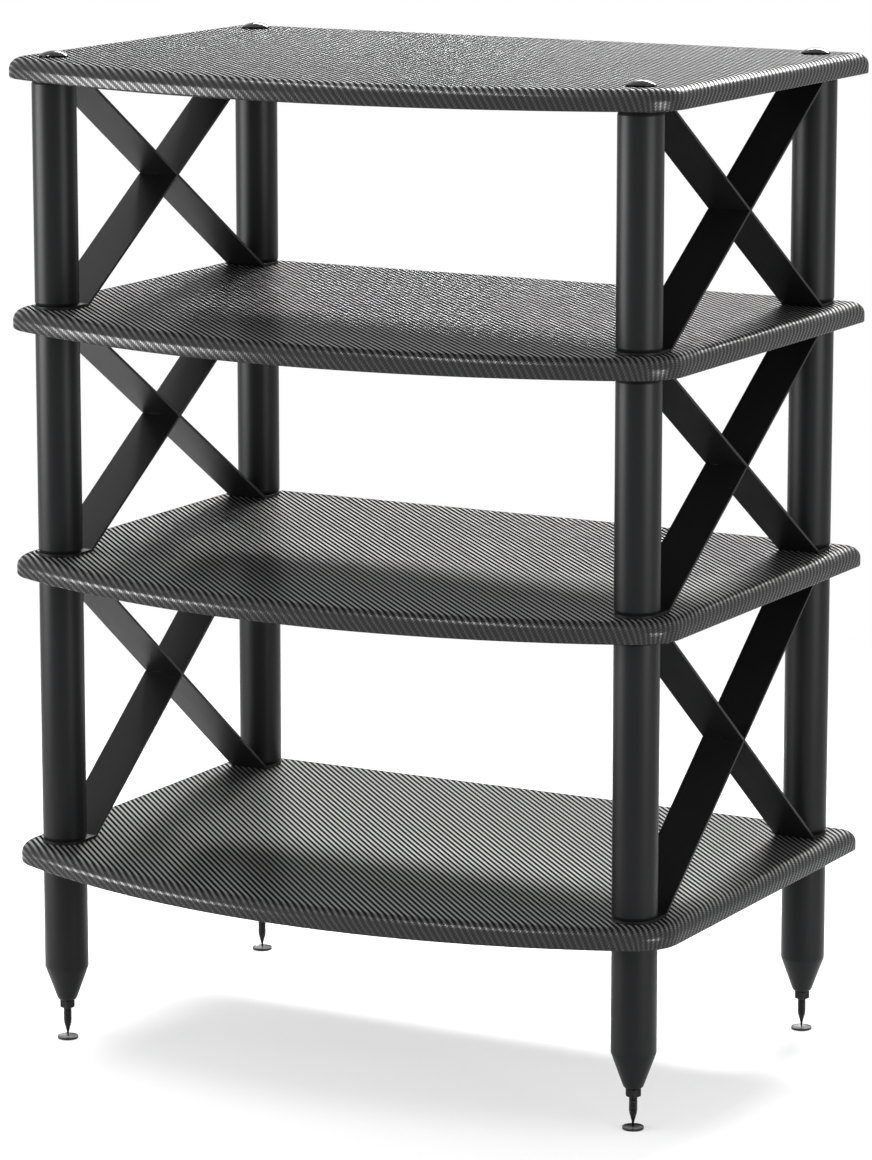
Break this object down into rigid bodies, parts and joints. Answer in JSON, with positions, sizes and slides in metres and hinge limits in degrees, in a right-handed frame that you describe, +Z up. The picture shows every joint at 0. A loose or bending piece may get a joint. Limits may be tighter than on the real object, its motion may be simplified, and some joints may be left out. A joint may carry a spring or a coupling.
{
  "type": "audio equipment rack",
  "caption": "Free-standing audio rack: bow-fronted twill-finish boards on black tubular posts, crossed strip braces at both sides, domed screws and adjustable spiked feet on floor discs.",
  "frame": {"origin": "on the floor, under the middle of the boards' outline", "axes": "+Z up, -Y to the bowed front, +X to the right seen from the front"},
  "size_m": [0.664, 0.497, 0.9115],
  "materials": {
    "twill_board": "MDF board wrapped in a glossy black and grey twill-weave film",
    "post_powder_coat": "fine satin black powder coat on steel tube",
    "strip_powder_coat": "satin black powder coat on folded steel strip",
    "zinc_stud": "bright zinc plate",
    "gloss_black_cap": "gloss black dome",
    "black_fastener": "satin black oxide steel",
    "dark_nickel_disc": "dark nickel plate, polished dish"
  },
  "bodies": {
    "rack": {"base_shelf": "twill_board", "lower_shelf": "twill_board", "upper_shelf": "twill_board", "top_shelf": "twill_board", "post_bottom_front_left": "post_powder_coat", "post_bottom_front_right": "post_powder_coat", "post_bottom_back_left": "post_powder_coat", "post_bottom_back_right": "post_powder_coat", "strip_rising_bottom_left": "strip_powder_coat", "strip_falling_bottom_left": "strip_powder_coat", "strip_rising_bottom_right": "strip_powder_coat", "strip_falling_bottom_right": "strip_powder_coat", "post_middle_front_left": "post_powder_coat", "post_middle_front_right": "post_powder_coat", "post_middle_back_left": "post_powder_coat", "post_middle_back_right": "post_powder_coat", "strip_rising_middle_left": "strip_powder_coat", "strip_falling_middle_left": "strip_powder_coat", "strip_rising_middle_right": "strip_powder_coat", "strip_falling_middle_right": "strip_powder_coat", "post_top_front_left": "post_powder_coat", "post_top_front_right": "post_powder_coat", "post_top_back_left": "post_powder_coat", "post_top_back_right": "post_powder_coat", "strip_rising_top_left": "strip_powder_coat", "strip_falling_top_left": "strip_powder_coat", "strip_rising_top_right": "strip_powder_coat", "strip_falling_top_right": "strip_powder_coat", "stud_base_front_left": "zinc_stud", "stud_base_front_right": "zinc_stud", "stud_base_back_left": "zinc_stud", "stud_base_back_right": "zinc_stud", "stud_lower_front_left": "zinc_stud", "stud_lower_front_right": "zinc_stud", "stud_lower_back_left": "zinc_stud", "stud_lower_back_right": "zinc_stud", "stud_upper_front_left": "zinc_stud", "stud_upper_front_right": "zinc_stud", "stud_upper_back_left": "zinc_stud", "stud_upper_back_right": "zinc_stud", "cap_screw_front_left": "gloss_black_cap", "leg_front_left": "post_powder_coat", "lock_nut_front_left": "black_fastener", "cap_screw_front_right": "gloss_black_cap", "leg_front_right": "post_powder_coat", "lock_nut_front_right": "black_fastener", "cap_screw_back_left": "gloss_black_cap", "leg_back_left": "post_powder_coat", "lock_nut_back_left": "black_fastener", "cap_screw_back_right": "gloss_black_cap", "leg_back_right": "post_powder_coat", "lock_nut_back_right": "black_fastener"},
    "disc_front_left": {"floor_disc_front_left": "dark_nickel_disc"},
    "spike_front_left": {"spike_front_left": "black_fastener"},
    "disc_front_right": {"floor_disc_front_right": "dark_nickel_disc"},
    "spike_front_right": {"spike_front_right": "black_fastener"},
    "disc_back_left": {"floor_disc_back_left": "dark_nickel_disc"},
    "spike_back_left": {"spike_back_left": "black_fastener"},
    "disc_back_right": {"floor_disc_back_right": "dark_nickel_disc"},
    "spike_back_right": {"spike_back_right": "black_fastener"}
  },
  "joints": [
    {"name": "level_front_left", "type": "slide", "parent": "rack", "child": "disc_front_left", "axis": [0, 0, -1], "range_m": [-0.008, 0.014]},
    {"name": "turn_front_left", "type": "hinge", "parent": "disc_front_left", "child": "spike_front_left", "pos_m": [-0.2915, -0.1435, 0.0015], "axis": [0, 0, -1], "range_deg": [-2304.5, 4032.5]},
    {"name": "level_front_right", "type": "slide", "parent": "rack", "child": "disc_front_right", "axis": [0, 0, -1], "range_m": [-0.008, 0.014]},
    {"name": "turn_front_right", "type": "hinge", "parent": "disc_front_right", "child": "spike_front_right", "pos_m": [0.2915, -0.1435, 0.0015], "axis": [0, 0, -1], "range_deg": [-2304.5, 4032.5]},
    {"name": "level_back_left", "type": "slide", "parent": "rack", "child": "disc_back_left", "axis": [0, 0, -1], "range_m": [-0.008, 0.014]},
    {"name": "turn_back_left", "type": "hinge", "parent": "disc_back_left", "child": "spike_back_left", "pos_m": [-0.2915, 0.209, 0.0015], "axis": [0, 0, -1], "range_deg": [-2304.5, 4032.5]},
    {"name": "level_back_right", "type": "slide", "parent": "rack", "child": "disc_back_right", "axis": [0, 0, -1], "range_m": [-0.008, 0.014]},
    {"name": "turn_back_right", "type": "hinge", "parent": "disc_back_right", "child": "spike_back_right", "pos_m": [0.2915, 0.209, 0.0015], "axis": [0, 0, -1], "range_deg": [-2304.5, 4032.5]}
  ],
  "couplings": [
    {"joint": "turn_front_left", "follows": "level_front_left", "rad_per_m": 5026.5},
    {"joint": "turn_front_right", "follows": "level_front_right", "rad_per_m": 5026.5},
    {"joint": "turn_back_left", "follows": "level_back_left", "rad_per_m": 5026.5},
    {"joint": "turn_back_right", "follows": "level_back_right", "rad_per_m": 5026.5}
  ]
}
